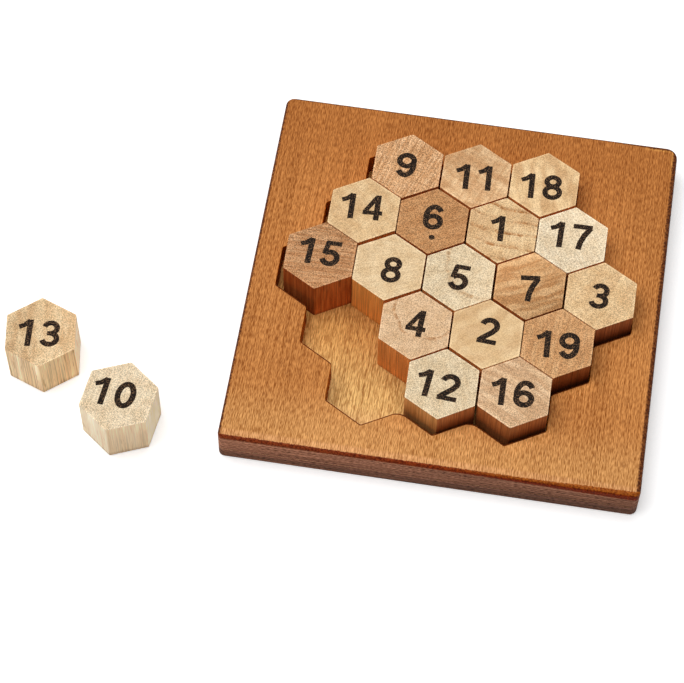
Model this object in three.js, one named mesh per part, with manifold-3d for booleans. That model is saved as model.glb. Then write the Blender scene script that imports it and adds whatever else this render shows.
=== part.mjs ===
// Hexagonal number puzzle: a square board with a pocket of nineteen hexagonal seats, and nineteen numbered tiles.
// Millimetres. +X runs to the right along the front edge, +Y to the back and +Z up.
// The origin is the middle of the board's underside, which is also the height of the table.
import * as THREE from 'three';
import { mergeVertices } from 'three/addons/utils/BufferGeometryUtils.js';
import Module from 'manifold-3d';

const wasm = await Module();
wasm.setup();

// Tiles: slices of a hexagonal rod, with two corners pointing to the front and the back.
const tileAcrossFlats = 23.3;
const tileHeight = 17.7;
const tileCornerRadius = 0.6;
const tileEdgeBevel = 0.35;
const tileSpacing = 0.6;

// Pocket: the outline of all the seats, cut through the upper plate.
const pocketClearance = 1.4;
const pocketCornerRadius = 0.8;
const pocketPointRadius = 4.5;

// Board: an upper plate glued on a base panel, with wood left all round the pocket.
const plateThickness = 8.5;
const baseThickness = 5;
const sideMargin = 9.15;
const frontMargin = 11.9;
const backMargin = 14.1;
const boardCornerRadius = 3;
const topEdgeRadius = 1.3;
const bottomEdgeRadius = 0.6;

// The tiles in the pocket are pushed over to the right-hand wall.
const tilesPushedRight = 1;

// The tiles' printed numbers as labels, row by row from the back to the front. Each row adds up to 38.
const seatRows = [
  '09 11 18',
  '14 06 01 17',
  '15 08 05 07 03',
  '13 04 02 19',
  '10 12 16',
].map((row) => row.split(' '));

// How each tile was put down by hand: to the right and to the back in millimetres, and its turn in degrees.
const handPlacing = new Map([
  ['09', { right: 0.2, back: 0.3, turn: 0 }],
  ['11', { right: 0.2, back: 0, turn: 0 }],
  ['18', { right: 0.1, back: 0.2, turn: 0 }],
  ['14', { right: -0.1, back: 0.5, turn: 0.5 }],
  ['06', { right: 0, back: -0.1, turn: 0.5 }],
  ['17', { right: 0.1, back: 0, turn: 0 }],
  ['15', { right: 0, back: 0.7, turn: 0.5 }],
  ['08', { right: 0, back: -0.1, turn: 0 }],
  ['05', { right: -0.1, back: -0.2, turn: 0.5 }],
  ['07', { right: 0, back: 0.1, turn: 0.5 }],
  ['03', { right: 0.1, back: 0.1, turn: 0 }],
  ['04', { right: 0, back: -0.6, turn: 1 }],
  ['02', { right: -0.1, back: -0.2, turn: 0.5 }],
  ['19', { right: 0, back: 0.2, turn: 0.5 }],
  ['12', { right: -0.1, back: -0.6, turn: 1 }],
  ['16', { right: 0, back: 0, turn: 0.5 }],
]);

// Two tiles stand on the table to the left of the board, so far from its left edge and behind its front edge.
const tile13FromLeftEdge = 64.7;
const tile13BehindFrontEdge = 27.1;
const tile10FromLeftEdge = 34;
const tile10BehindFrontEdge = 7.3;
const tilesOnTable = new Map([
  ['13', { leftOfBoard: tile13FromLeftEdge, behindFront: tile13BehindFrontEdge, turn: 9.7 }],
  ['10', { leftOfBoard: tile10FromLeftEdge, behindFront: tile10BehindFrontEdge, turn: -6.9 }],
]);

// Round stretches: straight steps along each half of a corner arc, and across a rounded edge.
const smallArcSteps = 1;
const largeArcSteps = 3;
const roundedEdgeSteps = 4;

// Finishes, for the bare solids.
const stainedPlate = { color: 0xc98a50, roughness: 0.5, metalness: 0 };
const stainedBase = { color: 0xb57b45, roughness: 0.55, metalness: 0 };
const tileTones = [
  { numbers: '10 12 17', color: 0xe6d2b0 },
  { numbers: '02 03 05 08 13 14', color: 0xdcc193 },
  { numbers: '01 11 16 18', color: 0xd3b085 },
  { numbers: '04 09 19', color: 0xc99f7d },
  { numbers: '06 07 15', color: 0xb98a5e },
];
const tileRoughness = 0.7;

// Places worked out from the sizes above.
const root3 = Math.sqrt(3);
const seatPitch = tileAcrossFlats + tileSpacing;
const rowPitch = seatPitch * root3 / 2;
const seatWall = tileAcrossFlats / 2 + pocketClearance;
const longestRow = Math.max(...seatRows.map((row) => row.length));
const pocketWidth = (longestRow - 1) * seatPitch + 2 * seatWall;
const pocketDepth = (seatRows.length - 1) * rowPitch + 4 * seatWall / root3;
const boardWidth = pocketWidth + 2 * sideMargin;
const boardDepth = pocketDepth + frontMargin + backMargin;
const boardHeight = baseThickness + plateThickness;
const pocketMiddleY = (frontMargin - backMargin) / 2;

// The middle of every seat, measured from the middle of the pocket.
const seats = new Map();
seatRows.forEach((row, rowIndex) => {
  row.forEach((number, column) => {
    const x = (column - (row.length - 1) / 2) * seatPitch;
    const y = ((seatRows.length - 1) / 2 - rowIndex) * rowPitch;
    seats.set(number, new THREE.Vector2(x, y));
  });
});

// Corners of a hexagon with its points to the front and back, counter-clockwise from the lower right one.
function hexagonCorners(acrossFlats) {
  const reach = acrossFlats / root3;
  return Array.from({ length: 6 }, (_, i) => {
    const angle = (i - 0.5) * Math.PI / 3;
    return new THREE.Vector2(reach * Math.cos(angle), reach * Math.sin(angle));
  });
}

// Corners of a rectangle about the origin, counter-clockwise.
function rectangleCorners(width, depth) {
  const signs = [[-1, -1], [1, -1], [1, 1], [-1, 1]];
  return signs.map(([sx, sy]) => new THREE.Vector2(sx * width / 2, sy * depth / 2));
}

// A closed shape whose corners are arcs. radiusAt is given the turn at a corner, which is negative at an inward point.
function roundedShape(corners, radiusAt) {
  const shape = new THREE.Shape();
  corners.forEach((corner, i) => {
    const before = corners.at(i - 1);
    const after = corners[(i + 1) % corners.length];
    const arriving = corner.clone().sub(before).normalize();
    const leaving = after.clone().sub(corner).normalize();
    const turn = Math.atan2(arriving.cross(leaving), arriving.dot(leaving));
    const side = Math.sign(turn);
    const radius = radiusAt(turn);
    const setback = radius * Math.tan(Math.abs(turn) / 2);
    const towardsCentre = new THREE.Vector2(-arriving.y, arriving.x).multiplyScalar(side);
    const centre = corner.clone().addScaledVector(arriving, -setback).addScaledVector(towardsCentre, radius);
    const startAngle = Math.atan2(-towardsCentre.y, -towardsCentre.x);
    shape.absarc(centre.x, centre.y, radius, startAngle, startAngle + turn, side < 0);
  });
  shape.closePath();
  return shape;
}

// Outer corners of a patch of hexagonal seats: walk the cell sides that have no neighbour, then move them out.
function patchOutline(centres, clearance) {
  const cell = hexagonCorners(seatPitch);
  const sides = [];
  for (const centre of centres) {
    cell.forEach((corner, i) => {
      const start = corner.clone().add(centre);
      const end = cell[(i + 1) % cell.length].clone().add(centre);
      const across = start.clone().add(end).sub(centre);
      const taken = centres.some((other) => other.distanceTo(across) < seatPitch / 2);
      if (!taken) {
        sides.push({ start, end });
      }
    });
  }
  const walk = [sides[0]];
  while (walk.length < sides.length) {
    const tip = walk.at(-1).end;
    walk.push(sides.find((side) => side.start.distanceTo(tip) < seatPitch / 10));
  }
  const outward = walk.map(({ start, end }) => new THREE.Vector2(end.y - start.y, start.x - end.x).normalize());
  return walk.map(({ start }, i) => {
    const both = outward[i].clone().add(outward.at(i - 1));
    const stretch = clearance / (1 + outward[i].dot(outward.at(i - 1)));
    return start.clone().addScaledVector(both, stretch);
  });
}

// An upright solid of a shape, from z = 0 to its height, with its upper and lower edges eased alike.
function uprightSolid(shape, height, edge, edgeSteps, arcSteps) {
  const solid = new THREE.ExtrudeGeometry(shape, {
    depth: height - 2 * edge,
    bevelEnabled: edge > 0,
    bevelThickness: edge,
    bevelSize: edge,
    bevelOffset: -edge,
    bevelSegments: edgeSteps,
    curveSegments: arcSteps,
  });
  return solid.translate(0, 0, edge);
}

function toManifold(geometry) {
  const bare = geometry.clone();
  bare.deleteAttribute('normal');
  bare.deleteAttribute('uv');
  const merged = mergeVertices(bare);
  return new wasm.Manifold(new wasm.Mesh({
    numProp: 3,
    vertProperties: new Float32Array(merged.attributes.position.array),
    triVerts: new Uint32Array(merged.index.array),
  }));
}

function fromManifold(manifold) {
  const { vertProperties, triVerts } = manifold.getMesh();
  const geometry = new THREE.BufferGeometry();
  geometry.setAttribute('position', new THREE.BufferAttribute(new Float32Array(vertProperties), 3));
  geometry.setIndex(new THREE.BufferAttribute(new Uint32Array(triVerts), 1));
  geometry.computeVertexNormals();
  return geometry;
}

function namedMesh(name, geometry, finish) {
  const mesh = new THREE.Mesh(geometry, new THREE.MeshStandardMaterial(finish));
  mesh.name = name;
  return mesh;
}

// The blank that both board panels are sawn from, with one edge radius for its top and bottom edges.
function boardBlank(edgeRadius) {
  const outline = roundedShape(rectangleCorners(boardWidth, boardDepth), () => boardCornerRadius);
  return toManifold(uprightSolid(outline, boardHeight, edgeRadius, roundedEdgeSteps, largeArcSteps));
}

// A slab larger than the board, to keep only what lies between two heights.
function slab(low, high) {
  const box = new THREE.BoxGeometry(2 * boardWidth, 2 * boardDepth, high - low);
  return toManifold(box.translate(0, 0, (low + high) / 2));
}

function makeBase() {
  return fromManifold(boardBlank(bottomEdgeRadius).intersect(slab(-baseThickness, baseThickness)));
}

function makeFramePlate() {
  const outline = roundedShape(
    patchOutline([...seats.values()], seatWall - seatPitch / 2),
    (turn) => (turn < 0 ? pocketPointRadius : pocketCornerRadius),
  );
  const pocket = uprightSolid(outline, 2 * boardHeight, 0, 1, largeArcSteps);
  pocket.translate(0, pocketMiddleY, 0);
  const plate = boardBlank(topEdgeRadius).intersect(slab(baseThickness, 2 * boardHeight));
  return fromManifold(plate.subtract(toManifold(pocket)));
}

function makeTile(number) {
  const outline = roundedShape(hexagonCorners(tileAcrossFlats), () => tileCornerRadius);
  const solid = uprightSolid(outline, tileHeight, tileEdgeBevel, 1, smallArcSteps);
  const tone = tileTones.find(({ numbers }) => numbers.includes(number));
  const finish = { color: tone.color, roughness: tileRoughness, metalness: 0 };
  return namedMesh(`tile_${number}`, solid, finish);
}

// Tiles in the pocket stand on its floor, and the two that were taken out stand on the table.
function placeTile(number) {
  const tile = makeTile(number);
  const onTable = tilesOnTable.get(number);
  if (onTable) {
    const x = -boardWidth / 2 - onTable.leftOfBoard;
    const y = -boardDepth / 2 + onTable.behindFront;
    tile.position.set(x, y, 0);
    tile.rotation.z = THREE.MathUtils.degToRad(onTable.turn);
    return tile;
  }
  const seat = seats.get(number);
  const placing = handPlacing.get(number) ?? { right: 0, back: 0, turn: 0 };
  const x = seat.x + tilesPushedRight + placing.right;
  const y = seat.y + pocketMiddleY + placing.back;
  tile.position.set(x, y, baseThickness);
  tile.rotation.z = THREE.MathUtils.degToRad(placing.turn);
  return tile;
}

const board = new THREE.Group();
board.add(namedMesh('board_base', makeBase(), stainedBase));
board.add(namedMesh('board_frame', makeFramePlate(), stainedPlate));

const tiles = new THREE.Group();
const numbersInOrder = [...seats.keys()].sort();
tiles.add(...numbersInOrder.map(placeTile));

const puzzle = new THREE.Group();
puzzle.add(board, tiles);

export default puzzle;
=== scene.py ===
# %% [markdown]
# # A hexagonal number puzzle
# The real object is a flat wooden board with a honeycomb-shaped pocket. Nineteen
# hexagonal blocks, cut across the grain and printed with the numbers 1 to 19, stand in
# the pocket or on the table beside the board. The CAD frame says where every solid is.
# It is loaded first, and each piece below is modelled in its place and stands for it.

# %% Load the frame
import math

import bpy
from mathutils import Matrix, Vector


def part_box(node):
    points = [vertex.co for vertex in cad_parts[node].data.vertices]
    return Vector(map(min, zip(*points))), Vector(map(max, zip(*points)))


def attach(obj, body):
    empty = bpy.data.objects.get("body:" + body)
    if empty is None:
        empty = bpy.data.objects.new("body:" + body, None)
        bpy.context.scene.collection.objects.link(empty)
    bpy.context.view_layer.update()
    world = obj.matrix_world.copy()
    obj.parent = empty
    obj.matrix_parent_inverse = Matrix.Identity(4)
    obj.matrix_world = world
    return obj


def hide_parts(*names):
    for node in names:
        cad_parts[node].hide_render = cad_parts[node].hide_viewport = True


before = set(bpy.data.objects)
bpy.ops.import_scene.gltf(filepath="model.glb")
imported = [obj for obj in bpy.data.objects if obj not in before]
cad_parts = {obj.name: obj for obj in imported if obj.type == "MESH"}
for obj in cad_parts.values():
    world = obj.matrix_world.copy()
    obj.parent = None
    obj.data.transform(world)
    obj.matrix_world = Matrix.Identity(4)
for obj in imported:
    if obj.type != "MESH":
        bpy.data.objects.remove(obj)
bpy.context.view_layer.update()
bpy.ops.object.select_all(action="DESELECT")

# %% [markdown]
# ## The camera
# The puzzle was photographed from above and a little from the right, through a long
# lens, so that the far edge of the board is hardly shorter than the near one. The place
# and the lens were found by lining up the corners of the board and of the tiles. A
# camera looks along its own -Z, so it is tipped up from straight down, then turned
# about the vertical, and a small roll levels it.

# %% Camera
MM = 0.001
camera_place = Vector((23.84, -430.71, 718.84)) * MM
camera_height_angle = math.radians(59.975)
camera_turn = math.radians(8.283)
camera_roll = math.radians(0.884)

bpy.ops.object.camera_add()
camera = bpy.context.object
camera.name = "camera"
aim = (
    Matrix.Rotation(camera_turn, 4, "Z")
    @ Matrix.Rotation(math.pi / 2 - camera_height_angle, 4, "X")
    @ Matrix.Rotation(camera_roll, 4, "Z")
)
camera.matrix_world = Matrix.Translation(camera_place) @ aim
camera.data.sensor_width = 36
camera.data.lens = 127.43
bpy.context.scene.camera = camera
print("camera", round(camera_place.length, 3), "m from the board")

# %% [markdown]
# ## Nodes in few words
# Every material below is a small tree of nodes. Adding a node, setting it and linking it
# takes several lines each time, so these helpers do it in one. A value that is itself a
# socket is linked, and anything else is typed into the socket.

# %% Node helpers
def add_node(tree, kind, inputs=None, **settings):
    made = tree.nodes.new(kind)
    for name, value in settings.items():
        setattr(made, name, value)
    for name, value in (inputs or {}).items():
        if isinstance(value, bpy.types.NodeSocket):
            tree.links.new(value, made.inputs[name])
        else:
            made.inputs[name].default_value = value
    return made


def arithmetic(tree, operation, first, second=0.0, third=0.0):
    settings = {0: first, 1: second, 2: third}
    return add_node(tree, "ShaderNodeMath", settings, operation=operation).outputs[0]


def remap(tree, value, low, high, to_low=0.0, to_high=1.0):
    settings = {"Value": value, 1: low, 2: high, 3: to_low, 4: to_high}
    return add_node(tree, "ShaderNodeMapRange", settings, interpolation_type="SMOOTHSTEP").outputs[0]


def mix_colours(tree, share, first, second, mode="MIX"):
    settings = {0: share, 6: first, 7: second}
    return add_node(tree, "ShaderNodeMix", settings, data_type="RGBA", blend_type=mode).outputs[2]


def colour(red, green, blue):
    return (red, green, blue, 1.0)


def vectors(tree, operation, first, second):
    return add_node(tree, "ShaderNodeVectorMath", {0: first, 1: second}, operation=operation).outputs[0]


def way_along(tree, place, direction):
    settings = {0: place, 1: direction}
    return add_node(tree, "ShaderNodeVectorMath", settings, operation="DOT_PRODUCT").outputs[1]


def level_direction(angle):
    return (math.cos(angle), math.sin(angle), 0)


# %% [markdown]
# ## Table and light
# The photograph has a white table and very soft light from above, a little from the
# left. One wide square lamp gives that. It is a lamp of plain strength, at
# which a colour renders about as it is written. The table is white paper. Where a ray
# sees the paper itself, straight from the camera or in a reflection, it gets a touch of
# its own light, so that it reaches white away from the board and still keeps the shadow
# close to it. The surroundings are white to such rays and give hardly any light.

# %% Table
paper_glow = 0.3


def seen_itself(tree):
    ray = add_node(tree, "ShaderNodeLightPath").outputs
    mirrored = arithmetic(tree, "MAXIMUM", ray["Is Glossy Ray"], ray["Is Transmission Ray"])
    return arithmetic(tree, "MAXIMUM", ray["Is Camera Ray"], mirrored)


bpy.ops.mesh.primitive_plane_add(size=8, location=(0, 0, -0.1 * MM))
table = bpy.context.object
table.name = "table"

paper = bpy.data.materials.new("white_paper")
paper.use_nodes = True
tree = paper.node_tree
tree.nodes.clear()
diffuse = add_node(tree, "ShaderNodeBsdfDiffuse", {"Color": colour(0.95, 0.95, 0.95)})
lift = arithmetic(tree, "MULTIPLY", seen_itself(tree), paper_glow)
glow = add_node(tree, "ShaderNodeEmission", {"Color": colour(1, 1, 1), "Strength": lift})
both = add_node(tree, "ShaderNodeAddShader", {0: diffuse.outputs[0], 1: glow.outputs[0]})
add_node(tree, "ShaderNodeOutputMaterial", {"Surface": both.outputs[0]})
table.data.materials.append(paper)
print("table of", paper.name)

# %% Lamp and surroundings
lamp_place = Vector((-0.5, 0.0, 1.6))
lamp_width = 1.9
lamp_radiance = 3.4
fill_light = 0.07

bpy.ops.object.light_add(type="AREA", location=lamp_place)
lamp = bpy.context.object
lamp.name = "soft_lamp"
lamp.data.shape = "SQUARE"
lamp.data.size = lamp_width
lamp.data.energy = lamp_radiance * math.pi * lamp_width**2

world = bpy.data.worlds.new("studio")
bpy.context.scene.world = world
world.use_nodes = True
tree = world.node_tree
tree.nodes.clear()
strength = arithmetic(tree, "MULTIPLY_ADD", seen_itself(tree), 1 - fill_light, fill_light)
sky = add_node(tree, "ShaderNodeBackground", {"Color": colour(1, 1, 1), "Strength": strength})
add_node(tree, "ShaderNodeOutputWorld", {"Surface": sky.outputs[0]})
bpy.context.scene.view_settings.view_transform = "Standard"
print("lamp", round(lamp.data.energy, 1), "W over", lamp_width, "m")

# %% [markdown]
# ## Wood along the grain
# The board is faced with veneer whose grain runs from front to back. Wood cut along the
# grain shows broad bands, long streaks, fine fibres and short dark pores. All four are
# the same thing at different sizes: a noise that is drawn out along the grain. They are
# built once as a node group, which reads millimetres with the grain along Y.

# %% Node group: long grain
def new_group(name, inputs, outputs):
    group = bpy.data.node_groups.new(name, "ShaderNodeTree")
    for label, kind, value in inputs:
        socket = group.interface.new_socket(label, in_out="INPUT", socket_type=kind)
        if value is not None:
            socket.default_value = value
    for label in outputs:
        group.interface.new_socket(label, in_out="OUTPUT", socket_type="NodeSocketFloat")
    return group, group.nodes.new("NodeGroupInput"), group.nodes.new("NodeGroupOutput")


def stretched_noise(tree, place, size, detail=2.0):
    cells = tuple(1 / length for length in size)
    scaled = vectors(tree, "MULTIPLY", place, cells)
    settings = {"Vector": scaled, "Scale": 1.0, "Detail": detail}
    return add_node(tree, "ShaderNodeTexNoise", settings).outputs[0]


long_grain, taken, given = new_group(
    "long_grain",
    [("Place", "NodeSocketVector", None)],
    ["Bands", "Streaks", "Fibres", "Pores"],
)
place = taken.outputs["Place"]
bands = stretched_noise(long_grain, place, (14, 240, 14), 2)
streaks = stretched_noise(long_grain, place, (0.33, 60, 0.33), 1)
fibres = stretched_noise(long_grain, place, (0.27, 2.2, 0.27), 1)
pores = stretched_noise(long_grain, place, (0.4, 2.4, 0.4), 1)
long_grain.links.new(remap(long_grain, bands, 0.3, 0.7), given.inputs["Bands"])
long_grain.links.new(remap(long_grain, streaks, 0.36, 0.64), given.inputs["Streaks"])
long_grain.links.new(remap(long_grain, fibres, 0.38, 0.62), given.inputs["Fibres"])
long_grain.links.new(remap(long_grain, pores, 0.6, 0.72), given.inputs["Pores"])
print("group", long_grain.name, "with", len(long_grain.nodes), "nodes")

# %% [markdown]
# ## How far from the board's upper edge
# The stain has collected along the rounded upper edge of the board, in a dark red band
# along the front and a thin brown line along the other three sides. The band follows the
# edge, so it needs to know how far a point is from it. On a rectangular board that is
# plain arithmetic on the place itself: the way in from a side, less the way down from
# the top. The group also says how far across and how far back a point is, from -1 to 1,
# and how far it is from the right corner at the back, where a highlight is painted.

# %% Node group: distance from the upper edge
board_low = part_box("board_base")[0]
board_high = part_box("board_frame")[1]
board_width = board_high.x - board_low.x
board_depth = board_high.y - board_low.y
glue_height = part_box("board_base")[1].z
board_top = board_high.z

edge_distance, taken, given = new_group(
    "edge_distance",
    [("Place", "NodeSocketVector", None)],
    ["Front", "Others", "Across", "Back", "Corner"],
)
axes = add_node(edge_distance, "ShaderNodeSeparateXYZ", {0: taken.outputs["Place"]})
across = arithmetic(edge_distance, "DIVIDE", axes.outputs["X"], board_width / 2 / MM)
back = arithmetic(edge_distance, "DIVIDE", axes.outputs["Y"], board_depth / 2 / MM)
way_down = arithmetic(edge_distance, "SUBTRACT", board_top / MM, axes.outputs["Z"])
from_middle = arithmetic(edge_distance, "ABSOLUTE", axes.outputs["X"])
from_side = arithmetic(edge_distance, "SUBTRACT", board_width / 2 / MM, from_middle)
from_back = arithmetic(edge_distance, "SUBTRACT", board_depth / 2 / MM, axes.outputs["Y"])
from_front = arithmetic(edge_distance, "ADD", board_depth / 2 / MM, axes.outputs["Y"])
from_others = arithmetic(edge_distance, "MINIMUM", from_side, from_back)
for label, way_in in (("Front", from_front), ("Others", from_others)):
    distance = arithmetic(edge_distance, "SUBTRACT", way_in, way_down)
    edge_distance.links.new(distance, given.inputs[label])
corner_way = arithmetic(edge_distance, "SUBTRACT", board_width / 2 / MM, axes.outputs["X"])
corner_way = arithmetic(edge_distance, "MAXIMUM", corner_way, from_back)
edge_distance.links.new(corner_way, given.inputs["Corner"])
edge_distance.links.new(across, given.inputs["Across"])
edge_distance.links.new(back, given.inputs["Back"])
print("board", round(board_width / MM, 2), "x", round(board_depth / MM, 2), "mm")

# %% [markdown]
# ## Beside the tiles
# The photograph has hardly any shadow on the board along the front right of the pocket,
# and the one wide lamp of this scene leaves one there. The veneer is made a little paler
# beside the four tiles that stand there, to make up for it. The strip is measured from
# the middle of each of these tiles, along the way that its side faces, and it fades out
# within a few millimetres.

# %% Node group: paler strip
paler_beside = {"03": 0.5, "19": 1.0, "16": 0.9, "12": 0.6}
side_faces = math.radians(-60)
side_runs = side_faces + math.pi / 2


def middle_of(node):
    low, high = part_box(node)
    return (low + high) / 2


paler_strip, taken, given = new_group("paler_strip", [("Place", "NodeSocketVector", None)], ["Paler"])
paler = 0.0
for number, amount in paler_beside.items():
    from_tile = vectors(paler_strip, "SUBTRACT", taken.outputs["Place"], middle_of("tile_" + number) / MM)
    ahead = way_along(paler_strip, from_tile, level_direction(side_faces))
    aside = arithmetic(paler_strip, "ABSOLUTE", way_along(paler_strip, from_tile, level_direction(side_runs)))
    strip = arithmetic(paler_strip, "MULTIPLY", remap(paler_strip, ahead, 18.5, 13.3), amount)
    strip = arithmetic(paler_strip, "MULTIPLY", strip, remap(paler_strip, ahead, 8.0, 10.0))
    strip = arithmetic(paler_strip, "MULTIPLY", strip, remap(paler_strip, aside, 9.5, 5.5))
    paler = arithmetic(paler_strip, "MAXIMUM", strip, paler)
paler_strip.links.new(paler, given.inputs["Paler"])
print("group", paler_strip.name, "beside", len(paler_beside), "tiles")

# %% [markdown]
# ## Veneer on the top of the board
# The veneer is stained orange brown under a satin lacquer. Bands and streaks move the
# colour between a deep and a light tone, and fibres and pores break it up. Tints paint
# the lamp's sheen on the lacquer, lighter to the front and just behind the front band,
# and painted shade makes it darker to the back. A painted highlight makes the rounded
# right corner at the back paler. The dark red band lies on the rounded front edge. To the
# right it runs further down the front side, and its top is rubbed lighter. It stays off
# the sides that face left and right. The lacquer is smoother than bare wood, but the
# fibres still show in it, so they move the roughness and a slight bump too.

# %% Finish: stained veneer
def new_finish(name):
    finish = bpy.data.materials.new(name)
    finish.use_nodes = True
    tree = finish.node_tree
    where = add_node(tree, "ShaderNodeTexCoord").outputs["Object"]
    shader = tree.nodes["Principled BSDF"]
    shader.inputs["Specular IOR Level"].default_value = 0.05
    return finish, tree, where, shader


def in_millimetres(tree, where, middle=(0, 0, 0), turn=(0, 0, 0)):
    settings = {"Vector": where, "Location": middle, "Rotation": turn, "Scale": (MM, MM, MM)}
    return add_node(tree, "ShaderNodeMapping", settings, vector_type="TEXTURE").outputs[0]


def place_group(tree, group, inputs):
    return add_node(tree, "ShaderNodeGroup", inputs, node_tree=group).outputs


def raise_fibres(tree, shader, height, depth_mm):
    settings = {"Height": height, "Distance": depth_mm * MM, "Strength": 1.0}
    bump = add_node(tree, "ShaderNodeBump", settings)
    tree.links.new(bump.outputs[0], shader.inputs["Normal"])


band_share = 0.12
streak_share = 0.34
fibre_share = 0.54
pore_share = 0.4
fibre_height = 0.02


def veneer_colour(tree, grain, deep, light, pore):
    tone = arithmetic(tree, "MULTIPLY", grain["Bands"], band_share)
    tone = arithmetic(tree, "MULTIPLY_ADD", grain["Streaks"], streak_share, tone)
    tone = arithmetic(tree, "MULTIPLY_ADD", grain["Fibres"], fibre_share, tone)
    wood = mix_colours(tree, tone, deep, light)
    dark = arithmetic(tree, "MULTIPLY", grain["Pores"], pore_share)
    return mix_colours(tree, dark, wood, pore)


def tinted(tree, share, wood, tint):
    return mix_colours(tree, share, wood, tint, "MULTIPLY")


def front_band(tree, place, edge):
    wander = stretched_noise(tree, place, (0.6, 0.6, 0.6), 2)
    reach = remap(tree, edge["Across"], 0.4, 1.0, 0.6, 1.3)
    border = arithmetic(tree, "MULTIPLY_ADD", wander, 0.9, reach)
    beyond = arithmetic(tree, "SUBTRACT", edge["Front"], border)
    drop = remap(tree, edge["Across"], 0.1, 1.05, -0.35, 1.3)
    lowered = arithmetic(tree, "ADD", edge["Front"], drop)
    outer = arithmetic(tree, "MULTIPLY_ADD", wander, 0.8, lowered)
    inside = remap(tree, beyond, -0.2, 0.2, 1.0, 0.0)
    share = arithmetic(tree, "MULTIPLY", inside, remap(tree, outer, -1.7, -0.9))
    faces = add_node(tree, "ShaderNodeTexCoord").outputs["Normal"]
    sideways = add_node(tree, "ShaderNodeSeparateXYZ", {0: faces}).outputs["X"]
    sideways = arithmetic(tree, "ABSOLUTE", sideways)
    share = arithmetic(tree, "MULTIPLY", share, remap(tree, sideways, 0.95, 0.7))
    blotches = remap(tree, stretched_noise(tree, place, (0.7, 0.5, 0.5), 2), 0.35, 0.65)
    left = mix_colours(tree, blotches, colour(0.09, 0.0115, 0.002), colour(0.26, 0.046, 0.011))
    right = mix_colours(tree, blotches, colour(0.08, 0.007, 0.0004), colour(0.27, 0.031, 0.0022))
    stain = mix_colours(tree, remap(tree, edge["Across"], -0.8, 0.6), left, right)
    rubbed = mix_colours(tree, blotches, colour(0.19, 0.037, 0.003), colour(0.42, 0.115, 0.014))
    worn = remap(tree, edge["Front"], -0.6, 0.4)
    worn = arithmetic(tree, "MULTIPLY", worn, remap(tree, edge["Across"], 0.0, 0.5))
    return share, mix_colours(tree, worn, stain, rubbed)


painted_sheen_front = colour(1.18, 1.4, 1.68)
painted_shade_back = colour(0.85, 0.77, 0.69)
painted_sheen_behind_band = colour(1.1, 1.13, 1.35)
beside_tiles = colour(1.55, 1.62, 1.7)
painted_highlight_corner = colour(1.35, 1.6, 1.6)
line_dark = colour(0.07, 0.016, 0.005)
line_light = colour(0.2, 0.062, 0.016)

veneer, tree, where, shader = new_finish("stained_veneer")
place = in_millimetres(tree, where)
grain = place_group(tree, long_grain, {"Place": place})
deep = colour(0.25, 0.067, 0.0075)
light = colour(0.76, 0.322, 0.094)
wood = veneer_colour(tree, grain, deep, light, colour(0.16, 0.042, 0.01))
edge = place_group(tree, edge_distance, {"Place": place})
# Painted sheen: lighter to the front and just behind the front band. Painted shade: darker to the back.
wood = tinted(tree, remap(tree, edge["Back"], -0.62, -0.92), wood, painted_sheen_front)
wood = tinted(tree, remap(tree, edge["Back"], 0.1, 0.9), wood, painted_shade_back)
wood = tinted(tree, remap(tree, edge["Front"], 4.0, 2.4), wood, painted_sheen_behind_band)
paler = place_group(tree, paler_strip, {"Place": place})["Paler"]
wood = tinted(tree, paler, wood, beside_tiles)
wander = stretched_noise(tree, place, (0.9, 0.9, 0.9), 2)
line = arithmetic(tree, "MULTIPLY_ADD", wander, 0.9, edge["Others"])
# Painted highlight: the rounded right corner at the back is made paler.
worn = arithmetic(tree, "MULTIPLY", remap(tree, edge["Corner"], 15, 7), remap(tree, line, 3.0, 2.2))
wood = tinted(tree, worn, wood, painted_highlight_corner)
line = arithmetic(tree, "SUBTRACT", line, remap(tree, edge["Across"], 0.6, 0.97, 0.0, 0.7))
stain = mix_colours(tree, remap(tree, wander, 0.4, 0.6), line_dark, line_light)
wood = mix_colours(tree, remap(tree, line, 0.9, 1.6, 1.0, 0.0), wood, stain)
share, stain = front_band(tree, place, edge)
wood = mix_colours(tree, share, wood, stain)
tree.links.new(wood, shader.inputs["Base Color"])
tree.links.new(remap(tree, grain["Fibres"], 0, 1, 0.42, 0.56), shader.inputs["Roughness"])
raise_fibres(tree, shader, grain["Fibres"], fibre_height)
print("finish", veneer.name, "with", len(tree.nodes), "nodes")

# %% [markdown]
# ## Sawn edges of the board
# The outer sides show the layers that the panels are pressed from: fine lines that run
# round the board at one height, mauve brown, with the lower panel darker than the upper
# one. A noise gives the lines if the place is turned so that it is drawn out along the
# edge and only the height counts across it. In each panel one layer differs in tone,
# which fades in between two heights, and both panels darken towards the right.

# %% Finish: sawn edge
saw_mark_depth = 0.05


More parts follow.
